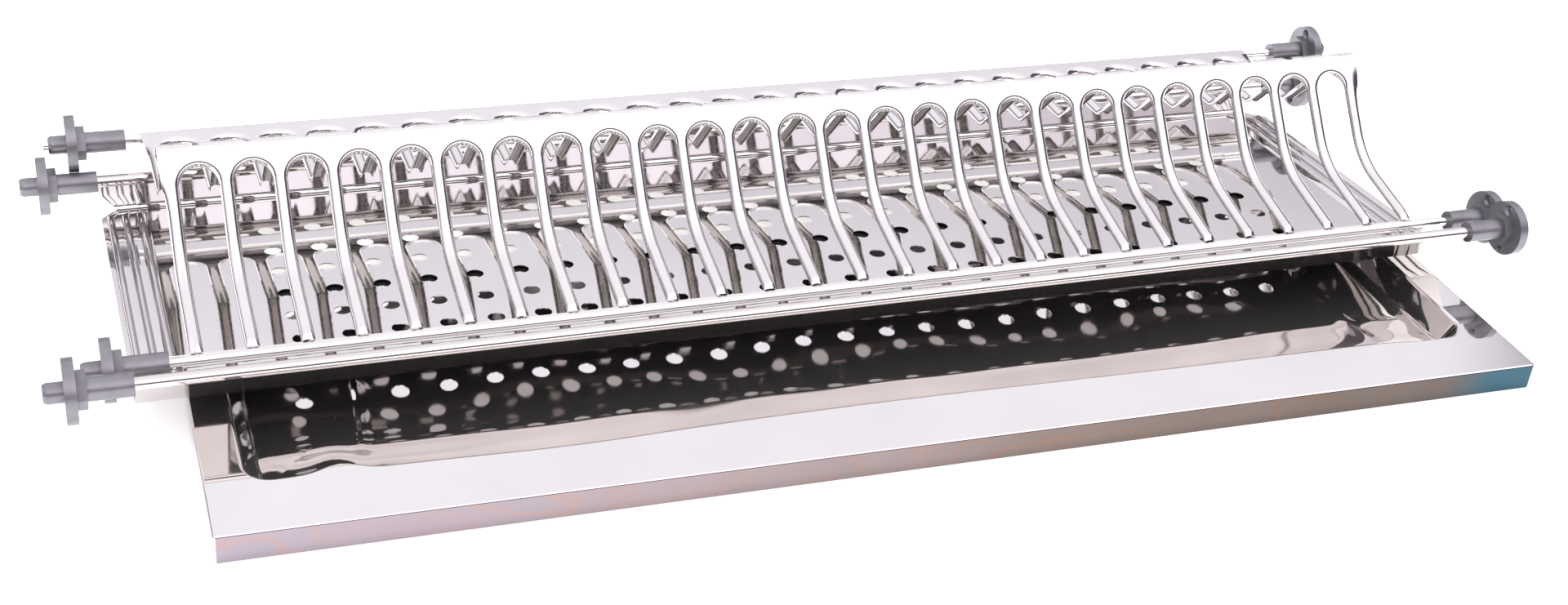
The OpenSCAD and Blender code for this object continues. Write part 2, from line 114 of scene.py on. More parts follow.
@dataclass
class SidePath:
    """A side view drawn as legs end to end, as distances back and up."""

    start: Pair
    heading: float
    legs: list[Leg]

    def corners(self) -> list[float]:
        """Distances along the path at which its legs meet."""
        return [0.0, *np.cumsum([leg.length for leg in self.legs]).tolist()]

    def at(self, along: Array) -> tuple[Array, Array, Array]:
        """Points and headings along the path.

        A straight leg adds s (cos a, sin a). A bend of radius r turns the heading by
        s / r and adds r times the difference of the two headings' normals.

        Args:
            along: distances from the start.

        Returns:
            Distance back, distance up and heading in radians, shaped like along.
        """
        along = np.asarray(along, float)
        back, up, heading = (np.full(along.shape, np.nan) for _ in range(3))
        y, z, angle, begin = *self.start, math.radians(self.heading), 0.0
        for leg in self.legs:
            inside = np.isnan(back) & ((along <= begin + leg.length + CLOSE) | (leg is self.legs[-1]))
            s = np.append(along[inside] - begin, leg.length)
            if leg.radius:
                r = leg.turn.value * leg.radius
                turned = angle + s / r
                ys = y + r * (np.sin(turned) - math.sin(angle))
                zs = z - r * (np.cos(turned) - math.cos(angle))
            else:
                turned = np.full(s.shape, angle)
                ys, zs = y + s * math.cos(angle), z + s * math.sin(angle)
            back[inside], up[inside], heading[inside] = ys[:-1], zs[:-1], turned[:-1]
            y, z, angle = ys[-1], zs[-1], turned[-1]
            begin += leg.length
        return back, up, heading

    def stations(self, low: float, high: float, step_degrees: float, longest: float = FAR) -> Array:
        """Distances from low to high that follow every bend closely.

        Args:
            low: first distance.
            high: last distance.
            step_degrees: largest turn between two stations.
            longest: largest distance between two stations.

        Returns:
            Rising distances as a column, with every corner between low and high among them.
        """
        found = [low, high]
        for leg, begin in zip(self.legs, self.corners()):
            a, b = max(low, begin), min(high, begin + leg.length)
            if b <= a:
                continue
            parts = max(1, math.ceil((b - a) / longest))
            if leg.radius:
                parts = max(parts, math.ceil(math.degrees((b - a) / leg.radius) / step_degrees))
            found.extend(np.linspace(a, b, parts + 1).tolist())
        return distinct(found)[:, None]


@dataclass(frozen=True)
class RackFrame:
    """Where a rack lies: its front rod's middle and its slope from front to back."""

    x: float
    y: float
    z: float
    slope: float

    @classmethod
    def of(cls, front_rod: str, rear_rod: str, sheet: str) -> "RackFrame":
        """The frame of a rack, from the boxes of its rods and of one of its sheet's nodes.

        Args:
            front_rod: the front rod's node.
            rear_rod: the rear rod's node.
            sheet: the node that shows where the sheet's middle is.

        Returns:
            The frame.
        """
        low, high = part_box(front_rod)
        rear_low, rear_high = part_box(rear_rod)
        front, rear = (low + high) / (2 * MM), (rear_low + rear_high) / (2 * MM)
        slope = math.degrees(math.atan2(rear.z - front.z, rear.y - front.y))
        low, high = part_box(sheet)
        return cls((low.x + high.x) / (2 * MM), front.y, front.z, slope)

    def place(self, x: Array, back: Array, up: Array) -> Array:
        """World points in metres of points in the rack's frame.

        y = y0 + back cos a - up sin a and z = z0 + back sin a + up cos a, a the slope.

        Args:
            x: distances across.
            back: distances back.
            up: distances up.

        Returns:
            Points, one more axis of three than the inputs.
        """
        c, s = math.cos(math.radians(self.slope)), math.sin(math.radians(self.slope))
        x, back, up = np.broadcast_arrays(x, back, up)
        return np.stack([self.x + x, self.y + back * c - up * s, self.z + back * s + up * c], -1) * MM

    def bent(self, path: SidePath, x: Array, along: Array, rise: Array | float = 0.0) -> Array:
        """World points in metres of flat points bent along a side view.

        A point at (x, s) with rise h lies at P(s) + h N(s), N the normal on the left.

        Args:
            path: the side view.
            x: distances across.
            along: distances along the path.
            rise: how far the points stand off the path.

        Returns:
            Points, one more axis of three than the inputs.
        """
        x, along, rise = np.broadcast_arrays(x, along, rise)
        back, up, heading = path.at(along)
        return self.place(x, back - rise * np.sin(heading), up + rise * np.cos(heading))


@dataclass
class Shell:
    """Patches of four-sided faces that become one mesh."""

    points: list[Array] = field(default_factory=list)
    quads: list[Array] = field(default_factory=list)
    count: int = 0

    def grid(self, points: Array, flip: bool = False, closed: bool = False) -> None:
        """Adds a patch of rows and columns of points.

        The face at row i, column j joins (i, j), (i, j+1), (i+1, j+1) and (i+1, j).

        Args:
            points: rows by columns by three.
            flip: turn the faces to the other side.
            closed: join the last column to the first.
        """
        rows, cols = points.shape[:2]
        index = np.arange(rows * cols).reshape(rows, cols) + self.count
        if closed:
            index = np.concatenate([index, index[:, :1]], 1)
        faces = np.stack([index[:-1, :-1], index[:-1, 1:], index[1:, 1:], index[1:, :-1]], -1)
        if flip:
            faces = faces[..., ::-1]
        self.points.append(points.reshape(-1, 3))
        self.quads.append(faces.reshape(-1, 4))
        self.count += rows * cols

    def build(self, name: str) -> Object:
        """Makes the mesh object, its doubled points merged and its shading smooth between sharp edges.

        Args:
            name: the object's name.

        Returns:
            The object, at the origin.
        """
        mesh = bpy.data.meshes.new(name)
        faces = np.concatenate(self.quads).tolist()
        mesh.from_pydata(np.concatenate(self.points).tolist(), [], faces)
        work = bmesh.new()
        work.from_mesh(mesh)
        bmesh.ops.remove_doubles(work, verts=work.verts, dist=MERGE)
        bmesh.ops.dissolve_degenerate(work, edges=work.edges, dist=TINY)
        work.to_mesh(mesh)
        work.free()
        mesh.shade_smooth()
        mesh.set_sharp_from_angle(angle=math.radians(SHARP))
        thing = bpy.data.objects.new(name, mesh)
        bpy.context.scene.collection.objects.link(thing)
        return thing


def thicken(thing: Object, thickness: float, side: float) -> None:
    """Gives a sheet its thickness, with the second material on its back.

    Args:
        thing: the sheet.
        thickness: in millimetres.
        side: -1 to grow away from the face's side, 1 to grow towards it.
    """
    solid = thing.modifiers.new("thickness", "SOLIDIFY")
    solid.thickness = thickness * MM
    solid.offset = side
    solid.use_rim = True
    solid.material_offset = 1
    crisp = thing.modifiers.new("crisp_edges", "EDGE_SPLIT")
    crisp.split_angle = math.radians(SHARP)
    level = thing.modifiers.new("level_faces", "WEIGHTED_NORMAL")
    level.mode = "FACE_AREA"
    level.weight = FACE_WEIGHT
    level.keep_sharp = True


def distinct(values: Array, digits: int = PLACE_DIGITS) -> Array:
    """Rising values, each once, rounded so that near copies count as one."""
    return np.unique(np.round(values, digits))


def smooth_step(value: Array) -> Array:
    """3 t^2 - 2 t^3 of the value held between 0 and 1."""
    t = np.clip(value, 0.0, 1.0)
    return t * t * (3 - 2 * t)


def half_circle(radius: float, off: Array) -> Array:
    """sqrt(r^2 - d^2) at a distance d from the middle, and 0 past the radius."""
    return np.sqrt(np.clip(radius**2 - off**2, 0.0, None))


def between(
    value: Array, low: float, high: float, fade: float, far_fade: float | None = None
) -> Array:
    """1 inside a range and 0 outside it, with a smooth step at its low and one at its high end."""
    return smooth_step((value - low) / fade) * smooth_step((high - value) / (far_fade or fade))


def fan(
    angles: Array, near: Array, shares: tuple[float, ...], half: float, reach: float
) -> tuple[Array, Array]:
    """Rays from an arch's edge out to the box round it.

    A ray at angle a ends at the nearer of half / |cos a| and reach / sin a.

    Args:
        angles: ray angles in radians.
        near: distances from the centre, near the edge.
        shares: points past the last of those, as shares of the way left to the ray's end.
        half: half the box's width.
        reach: the box's height over the centre.

    Returns:
        Across and along, angles by radii.
    """
    with np.errstate(divide="ignore"):
        far = np.minimum(half / np.abs(np.cos(angles)), reach / np.maximum(np.abs(np.sin(angles)), CLOSE))
    close = np.broadcast_to(near, (len(angles), len(near)))
    r = np.concatenate([close, near[-1] + np.array(shares) * (far[:, None] - near[-1])], 1)
    return r * np.cos(angles)[:, None], r * np.sin(angles)[:, None]


@dataclass(frozen=True)
class Bell:
    """A soft bump h exp(-((x - m - s y) / w)^2), its middle m shifted by a slant s times y."""

    height: float
    middle: float
    width: float
    slant: float = 0.0

    def at(self, x: Array, y: Array | float = 0.0) -> Array:
        """The bump's value at x and y."""
        return self.height * np.exp(-(((x - self.middle - self.slant * y) / self.width) ** 2))


# ---- finishes


@dataclass(frozen=True)
class Pattern:
    """A noise pattern on object coordinates, scaled along each axis first if it has a stretch."""

    scale: float
    detail: float = 2.0
    stretch: Triple | None = None


@dataclass
class Nodes:
    """A node tree under construction."""

    tree: bpy.types.NodeTree

    def __post_init__(self) -> None:
        """Starts with an empty tree."""
        self.tree.nodes.clear()

    def put(self, target: Socket, value: Value) -> None:
        """Links another node's socket to the target, or sets the target to a plain value.

        Args:
            target: an input.
            value: a socket, a number or a tuple of numbers.
        """
        if isinstance(value, Socket):
            self.tree.links.new(value, target)
        else:
            target.default_value = value

    def add(self, kind: str, inputs: Inputs | None = None, **settings: str) -> bpy.types.Node:
        """A new node.

        Args:
            kind: the node's type without its ShaderNode prefix.
            inputs: sockets or values by the names or numbers of the inputs they go to.
            settings: the node's own settings.

        Returns:
            The node.
        """
        node = self.tree.nodes.new("ShaderNode" + kind)
        for name, setting in settings.items():
            setattr(node, name, setting)
        for name, value in (inputs or {}).items():
            self.put(node.inputs[name], value)
        return node

    def stops(self, value: Socket, stops: Stops) -> Socket:
        """A colour read off a row of stops.

        Args:
            value: where to read.
            stops: positions and colours.

        Returns:
            The colour.
        """
        node = self.add("ValToRGB", {0: value})
        elements = node.color_ramp.elements
        while len(elements) < len(stops):
            elements.new(0.5)
        for element, (at, tint) in zip(elements, stops):
            element.position, element.color = at, (*tint, 1)
        return node.outputs[0]

    def mapped(self, value: Socket, source: Pair, target: Pair = (0.0, 1.0), shape: str = "LINEAR") -> Socket:
        """The value mapped from one range onto another, held at its ends."""
        ends = dict(zip(("From Min", "From Max", "To Min", "To Max"), (*source, *target)))
        return self.add("MapRange", {0: value, **ends}, interpolation_type=shape).outputs[0]

    def computed(self, operation: str, one: Value, other: Value) -> Socket:
        """The sum or the product of two values."""
        return self.add("Math", {0: one, 1: other}, operation=operation).outputs[0]

    def mix(self, share: Value, one: Socket, other: Socket, how: str = "MIX") -> Socket:
        """Two colours mixed by a share, or the one altered by the other."""
        inputs = {MIX_SHARE: share, MIX_ONE: one, MIX_OTHER: other}
        return self.add("Mix", inputs, data_type="RGBA", blend_type=how).outputs[MIX_COLOUR]


class Paint(Nodes):
    """A material's node tree, with a shader, an output and object coordinates."""

    def __init__(self, name: str) -> None:
        """Makes the material.

        Args:
            name: the material's name.
        """
        self.material = bpy.data.materials.new(name)
        self.material.use_nodes = True
        super().__init__(self.material.node_tree)
        self.shader = self.add("BsdfPrincipled")
        self.add("OutputMaterial", {0: self.shader.outputs[0]})
        self.place = self.add("TexCoord").outputs["Object"]

    def noise(self, pattern: Pattern) -> Socket:
        """A noise pattern on object coordinates, stretched first if it has to be.

        Args:
            pattern: the pattern.

        Returns:
            Its value.
        """
        place = self.place
        if pattern.stretch is not None:
            place = self.add("Mapping", {"Vector": place, "Scale": pattern.stretch}).outputs[0]
        inputs = {"Vector": place, "Scale": pattern.scale, "Detail": pattern.detail}
        return self.add("TexNoise", inputs).outputs[0]

    def clouded(self, noise: Socket, low: Triple, high: Triple) -> Socket:
        """A colour that runs from low to high with a noise pattern."""
        return self.stops(noise, ((NOISE_LOW, low), (NOISE_HIGH, high)))

    def spread(self, noise: Socket, low: float, high: float) -> Socket:
        """A value that runs from low to high with a noise pattern."""
        return self.mapped(noise, (NOISE_LOW, NOISE_HIGH), (low, high))

    def bump(self, height: Socket, distance: float, strength: float) -> Socket:
        """A bump from a height."""
        inputs = {"Height": height, "Distance": distance, "Strength": strength}
        return self.add("Bump", inputs).outputs[0]

    def give(self, socket: str, value: Value) -> None:
        """Gives one of the shader's sockets its source or its value."""
        self.put(self.shader.inputs[socket], value)


@dataclass(frozen=True)
class MirrorSteel:
    """Polished stainless sheet: nearly a mirror, with faint smears and a faint press wave."""

    name: str = "mirror_steel"
    tint: Triple = (0.705, 0.685, 0.68)
    smear: Triple = (0.665, 0.645, 0.64)
    smears: Pattern = Pattern(14.0, 3.0)
    metallic: float = 0.97
    grain: Pattern = Pattern(260.0, 2.0, (0.15, 1.0, 1.0))
    smooth: float = 0.02
    rough: float = 0.06
    waves: Pattern | None = Pattern(9.0, 1.0)
    wave: float = 0.00012
    wave_strength: float = 0.5

    def colour(self, paint: Paint) -> Socket:
        """The sheet's colour, clouded by faint smears."""
        return paint.clouded(paint.noise(self.smears), self.smear, self.tint)

    def make(self) -> bpy.types.Material:
        """Builds the finish.

        Returns:
            The material.
        """
        paint = Paint(self.name)
        paint.give("Metallic", self.metallic)
        paint.give("Base Color", self.colour(paint))
        paint.give("Roughness", paint.spread(paint.noise(self.grain), self.smooth, self.rough))
        if self.waves is not None:
            paint.give("Normal", paint.bump(paint.noise(self.waves), self.wave, self.wave_strength))
        return paint.material


@dataclass(frozen=True)
class StainedSteel(MirrorSteel):
    """The tray's sheet: mirror steel whose lip carries brown and violet heat stains.

    The stains run along the lip from one end of reach to the other, in metres, wandering
    by a noise pattern. The films are thin contours in another pattern over them.
    """

    name: str = "stained_steel"
    reach: Pair = (-0.30, 0.44)
    wander: float = 0.16
    wandering: Pattern = Pattern(11.0, 3.0)
    contours: Pattern = Pattern(9.0, 2.0, (1.0, 1.0, 2.4))
    stains: Stops = (
        (0.0, (0.285, 0.245, 0.275)),
        (0.3, (0.25, 0.205, 0.21)),
        (0.6, (0.16, 0.125, 0.11)),
        (0.9, (0.105, 0.084, 0.072)),
        (1.0, (0.035, 0.085, 0.115)),
    )
    films: Stops = (
        (0.0, (0.9, 0.88, 0.9)),
        (0.40, (1.0, 1.0, 1.0)),
        (0.43, (1.06, 0.985, 0.93)),
        (0.46, (0.97, 1.0, 1.02)),
        (0.49, (1.0, 1.0, 1.0)),
        (0.52, (1.0, 1.0, 1.0)),
        (0.54, (1.12, 0.96, 0.86)),
        (0.56, (0.95, 1.0, 1.03)),
        (0.6, (1.0, 0.99, 1.0)),
        (1.0, (0.92, 0.91, 0.91)),
    )

    def colour(self, paint: Paint) -> Socket:
        """Plain steel on the rim and basin, and on the lip stains that change along it.

        Args:
            paint: the material under construction.

        Returns:
            The colour.
        """
        plain = super().colour(paint)
        across = paint.add("SeparateXYZ", {0: paint.place}).outputs["X"]
        drift = paint.computed("MULTIPLY", paint.noise(self.wandering), self.wander)
        along = paint.computed("ADD", across, drift)
        shade = paint.stops(paint.mapped(along, self.reach), self.stains)
        film = paint.stops(paint.noise(self.contours), self.films)
        stain = paint.mix(1.0, shade, film, "MULTIPLY")
        mask = paint.add("Attribute", attribute_name="lip").outputs["Fac"]
        return paint.mix(mask, plain, stain)


@dataclass(frozen=True)
class DullShadedSteel(MirrorSteel):
    """The sheets' undersides: the same steel a little rougher, and darker as painted shade on the sides
    turned from the light.
    """

    name: str = "dull_shaded_steel"
    # About half the mirror steel's tint: painted shade on the undersides.
    tint: Triple = (0.34, 0.31, 0.295)
    smear: Triple = (0.27, 0.245, 0.235)
    smooth: float = 0.07
    rough: float = 0.13


@dataclass(frozen=True)
class BrownSteel(MirrorSteel):
    """The base rack's underside: polished like its top, with a brown cast."""

    name: str = "brown_steel"
    tint: Triple = (0.65, 0.615, 0.595)
    smear: Triple = (0.605, 0.57, 0.55)


@dataclass(frozen=True)
class DrawnSteel(MirrorSteel):
    """Bright drawn rod with fine marks round it."""

    name: str = "drawn_steel"
    tint: Triple = (0.88, 0.875, 0.89)
    smear: Triple = (0.78, 0.77, 0.79)
    smears: Pattern = Pattern(900.0, 2.0, (1.0, 0.05, 0.05))
    metallic: float = 1.0
    grain: Pattern = smears
    smooth: float = 0.06
    rough: float = 0.16
    waves: Pattern | None = None


@dataclass(frozen=True)
class GreyMoulding(MirrorSteel):
    """Satin grey moulded fitting with a metallic look and a fine grain."""

    name: str = "grey_moulding"
    tint: Triple = (0.235, 0.23, 0.25)
    smear: Triple = (0.19, 0.185, 0.2)
    smears: Pattern = Pattern(120.0, 3.0)
    metallic: float = 0.75
    grain: Pattern = Pattern(2600.0)
    smooth: float = 0.3
    rough: float = 0.42
    waves: Pattern = grain
    wave: float = 0.00004
    wave_strength: float = 0.35


@dataclass(frozen=True)
class PaleFloor:
    """Plain pale floor that glows a little, so that no shadow on it is deep."""

    name: str = "pale_floor"
    tint: Triple = (0.96, 0.96, 0.965)
    light: Triple = (0.97, 0.97, 0.97)
    clouds: Pattern = Pattern(3.0)
    roughness: float = 0.9
    shine: float = 0.1
    glow: float = 0.45

    def make(self) -> bpy.types.Material:
        """Builds the finish.

        Returns:
            The material.
        """
        paint = Paint(self.name)
        paint.give("Base Color", paint.clouded(paint.noise(self.clouds), self.tint, self.light))
        paint.give("Roughness", self.roughness)
        paint.give("Specular IOR Level", self.shine)
        paint.give("Emission Color", (1.0, 1.0, 1.0, 1.0))
        paint.give("Emission Strength", self.glow)
        return paint.material


class Finish(Enum):
    """Every finish of the set and its floor."""

    MIRROR = MirrorSteel()
    STAINED = StainedSteel()
    DULL_SHADED = DullShadedSteel()
    BROWN = BrownSteel()
    ROD = DrawnSteel()
    GREY = GreyMoulding()
    FLOOR = PaleFloor()

    @cache
    def material(self) -> bpy.types.Material:
        """The finish's material, made when it is first asked for."""
        return self.value.make()


def dress(thing: Object, *finishes: Finish) -> None:
    """Puts a finish on a piece or a carried node, or one on each side of a sheet.

    Args:
        thing: what is dressed.
        finishes: one finish, or the front's and the back's.
    """
    thing.data.materials.clear()
    for finish in finishes:
        thing.data.materials.append(finish.material())


# ---- drip tray


@dataclass(frozen=True)
class PressMarks:
    """What drawing leaves in the basin, with bells placed from the tray's left end."""

    front_edge: tuple[Bell, ...] = (
        Bell(6.5, 67.0, 12.0),
        Bell(2.2, 370.0, 120.0),
        Bell(-2.4, 185.0, 60.0),
        Bell(-3.2, 712.0, 26.0),
    )
    edge_fade: float = 10.0
    creases: tuple[Bell, ...] = (Bell(1.5, 86.0, 4.0, 1 / 12), Bell(1.2, 682.0, 5.0, -1 / 9))
    sway: float = 0.6
    sway_mean: float = 0.5
    sway_part: float = 0.3
    sway_in: float = 8.0
    sway_fades: Pair = (30.0, 25.0)
    long_wave: Triple = (31.0, 1.4, 21.0)
    cross_wave: Triple = (0.6, 13.0, 17.0)
    pleat: float = 30.0
    pleat_height: float = 1.3
    pleat_drift: Pair = (0.9, 60.0)
    pleat_in: float = 3.0
    pleat_reach: float = 56.0
    pleat_fades: Pair = (9.0, 26.0)
    pleat_share: float = 0.3
    pleat_ends: tuple[Bell, Bell] = (Bell(0.8, 0.0, 120.0), Bell(0.4, 0.0, 90.0))


@dataclass
class DripTray:
    """Shallow tray with a wide rim, a turned-down lip and a basin with sloping walls."""

    length: float = 760.0
    depth: float = 236.0
    height: float = 15.7
    front_rim: float = 41.0
    rear_rim: float = 30.0
    end_rim: float = 20.5
    slope: float = 9.0
    sheet: float = 0.6
    askew: float = 0.8
    corner: float = 1.2
    edge: float = 1.3
    basin_corner: float = 14.0
    basin_edge: float = 3.0
    smallest: float = 0.4
    lip_slack: float = 0.3
    bend_points: int = 9
    side_points: tuple[int, int] = (150, 28)
    wall_rings: int = 8
    floor_rings: int = 25
    marks: PressMarks = PressMarks()

    def ring(self, box: Box, radius: float, inset: float) -> Array:
        """A ring round a box with rounded corners, in the tray's own frame.

        Each corner is a quarter circle of radius r - inset about the point r in from
        both sides, so rings with a growing inset stay parallel.

        Args:
            box: lowest x, highest x, lowest y, highest y.
            radius: the corner radius before the inset.
            inset: how far the ring lies inside the box.

        Returns:
            Across and back, counter-clockwise from above, one row per point.
        """
        x0, x1, y0, y1 = box[0] + inset, box[1] - inset, box[2] + inset, box[3] - inset
        r = max(radius - inset, self.smallest)
        middles = np.array([(x1 - r, y1 - r), (x0 + r, y1 - r), (x0 + r, y0 + r), (x1 - r, y0 + r)])
        turns = [np.linspace(0, math.pi / 2, self.bend_points) + k * math.pi / 2 for k in range(4)]
        arcs = middles[:, None] + r * np.stack([np.cos(turns), np.sin(turns)], -1)
        parts = []
        for k, (arc, after) in enumerate(zip(arcs, np.roll(arcs, -1, 0))):
            share = np.linspace(0, 1, self.side_points[k % 2])[1:-1, None]
            parts += [arc, arc[-1] + share * (after[0] - arc[-1])]
        return np.concatenate(parts)

    def basin_box(self) -> Box:
        """The basin's mouth: lowest x, highest x, lowest y, highest y."""
        x, y = self.length / 2 - self.end_rim, self.depth / 2
        return -x, x, self.front_rim - y, y - self.rear_rim

    def lip_rows(self) -> list[Row]:
        """Rings up the lip and over its rounded edge, each with its height.

        The edge is e (1 - cos t) in and e sin t up, t from 0 to 90 degrees.

        Returns:
            The rings, from the lip's foot up.
        """
        outer = (-self.length / 2, self.length / 2, -self.depth / 2, self.depth / 2)
        h, e, r = self.height, self.edge, self.corner + self.edge
        rows = [(self.ring(outer, r, 0.0), z) for z in (0.0, 0.5 * h, h - e)]
        for t in np.linspace(0, math.pi / 2, self.bend_points)[1:]:
            rows.append((self.ring(outer, r, e * (1 - math.cos(t))), h - e + e * math.sin(t)))
        return rows

    def basin_rows(self) -> list[Row]:
        """Rings from the basin's mouth down its wall and in to a line, each with its height.

        Both bends are arcs of radius b through the wall's angle. On the floor each ring
        is a share of the way from the wall's foot to the line along the basin's middle.

        Returns:
            The rings, from the mouth down.
        """
        h, b, corner = self.height, self.basin_edge, self.basin_corner
        wall = math.atan2(h - self.sheet, self.slope)
        reach = b * math.tan(wall / 2)
        mouth, rows = self.basin_box(), []
        for t in np.linspace(0, wall, self.wall_rings):
            rows.append((self.ring(mouth, corner, b * math.sin(t) - reach), h - b + b * math.cos(t)))
        for t in np.linspace(wall, 0, self.wall_rings):
            inset = self.slope + reach - b * math.sin(t)
            rows.append((self.ring(mouth, corner, inset), self.sheet + b - b * math.cos(t)))
        foot = rows[-1][0]
        low, high = foot.min(0), foot.max(0)
        half = 0.5 * (high[1] - low[1])
        middle = np.full(len(foot), 0.5 * (low[1] + high[1]))
        line = np.stack([np.clip(foot[:, 0], low[0] + half, high[0] - half), middle], -1)
        shares = np.linspace(0, 1, self.floor_rings)[1:]
        return rows + [(foot + share * (line - foot), self.sheet) for share in shares]

    def drawn(self, flat: Array, height: Array) -> tuple[Array, Array]:
        """Gives the basin the uneven front edge, soft waves and pleats of a drawn sheet.

        The front edge moves back by a sum of bells, faded out towards the back. The floor
        rises by up to the sway, as sines of x and y with a narrow crease near each end,
        faded in from the walls. Near the front it also rises by 0.5 - 0.5 cos(2 pi y / p)
        of the pleats' height, p their width, and more so towards the ends.

        Args:
            flat: across and back.
            height: heights of the same points.

        Returns:
            The moved points and heights.
        """
        m = self.marks
        x0, x1, y0, y1 = self.basin_box()
        x, y = flat[..., 0], flat[..., 1]
        along = x + self.length / 2
        edge = sum(bell.at(along) for bell in m.front_edge)
        front = smooth_step((y0 + y1 - 2 * y) / (y1 - y0))
        moved = np.stack([x, y + edge * front * between(x, x0, x1, m.edge_fade)], -1)
        fade_x, fade_y = m.sway_fades
        depth = between(x, x0 + m.sway_in, x1 - m.sway_in, fade_x)
        depth = depth * between(y, y0 + m.sway_in, y1 - m.sway_in, fade_y)
        size, bend, width = m.long_wave
        waves = np.sin(x / size + bend * np.sin(y / width))
        share, size, width = m.cross_wave
        waves = waves + share * np.sin(x / size - y / width)
        crease = sum(bell.at(along, y) for bell in m.creases)
        sway = m.sway * depth * (m.sway_mean + m.sway_part * waves + crease)
        fade, far_fade = m.pleat_fades
        near = between(x, x0 + m.pleat_in, x1 - m.pleat_in, fade)
        near = near * between(y, y0 + m.pleat_in, y0 + m.pleat_reach, fade, far_fade)
        left, right = m.pleat_ends
        ends = m.pleat_share + left.at(x - x0) + right.at(x1 - x)
        drift = m.pleat_drift[0] * np.sin(x / m.pleat_drift[1])
        pleats = 0.5 - 0.5 * np.cos(2 * math.pi * (y - y0) / m.pleat + drift)
        low = smooth_step((self.height - height) / self.height)
        return moved, height + low * (sway + m.pleat_height * near * ends * pleats)

    def mark_lip(self, tray: Object, turned: float) -> None:
        """Writes the lip attribute: 1 on the lip's vertices and 0 elsewhere.

        Args:
            tray: the tray's object.
            turned: the tray's turn about the vertical, in radians.
        """
        spots = np.empty(3 * len(tray.data.vertices))
        tray.data.vertices.foreach_get("co", spots)
        x, y, _ = spots.reshape(-1, 3).T / MM
        c, s = math.cos(turned), math.sin(turned)
        across, back = np.abs(x * c + y * s), np.abs(y * c - x * s)
        slack = self.lip_slack
        off = (across > self.length / 2 - slack) | (back > self.depth / 2 - slack)
        mark = tray.data.attributes.new("lip", "FLOAT", "POINT")
        mark.data.foreach_set("value", off.astype(np.float32))

    def build(self) -> Object:
        """Makes the tray from rings, turned a little under its rack, and dresses it.

        Returns:
            The tray.
        """
        lip, basin = self.lip_rows(), self.basin_rows()
        flat = np.stack([row for row, _ in lip + basin])
        height = np.array([z for _, z in lip + basin])[:, None] + np.zeros(flat.shape[:2])
        start = len(lip)
        flat[start:], height[start:] = self.drawn(flat[start:], height[start:])
        a = math.radians(-self.askew)
        c, s = math.cos(a), math.sin(a)
        x, y = flat[..., 0], flat[..., 1]
        shell = Shell()
        shell.grid(np.stack([x * c - y * s, x * s + y * c, height], -1) * MM, closed=True)
        tray = shell.build("drip_tray_sheet")
        self.mark_lip(tray, a)
        thicken(tray, self.sheet, -1)
        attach(tray, "drip_tray")
        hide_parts("tray_rim", "tray_basin")
        # The back takes the darker finish: painted shade on the underside.
        dress(tray, Finish.STAINED, Finish.DULL_SHADED)
        return tray


# ---- base rack


